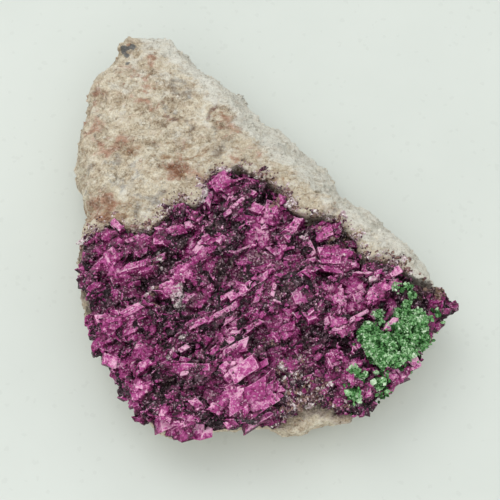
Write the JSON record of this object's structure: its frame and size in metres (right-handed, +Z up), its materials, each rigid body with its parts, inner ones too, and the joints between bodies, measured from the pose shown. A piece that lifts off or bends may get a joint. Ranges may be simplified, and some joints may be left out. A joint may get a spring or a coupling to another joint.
{
  "type": "cobaltoan calcite with malachite specimen",
  "caption": "Hand specimen: a flat wedge of pale rock with a crust of purple-pink calcite crystals and tufts of green malachite, resting on a flat underside.",
  "frame": {"origin": "on the surface that the specimen lies on, under the middle of its bounding box", "axes": "+Z up from the surface, +Y from the crystal face towards the narrow tip of bare rock, +X to the right when the crystal face is near"},
  "size_m": [0.061, 0.0732, 0.0167],
  "materials": {
    "pale_rock": "rough stone",
    "purple_calcite": "glassy crystal faces",
    "green_malachite": "velvety fine grains"
  },
  "bodies": {
    "root": {"host_rock": "pale_rock", "cobaltoan_calcite_crust": "purple_calcite", "malachite_patch": "green_malachite", "malachite_tuft_upper_left": "green_malachite", "malachite_tuft_upper_right": "green_malachite", "malachite_tuft_middle": "green_malachite", "malachite_tuft_corner": "green_malachite", "malachite_tuft_lower": "green_malachite", "malachite_tuft_lower_left": "green_malachite", "malachite_tuft_front": "green_malachite"}
  },
  "joints": []
}
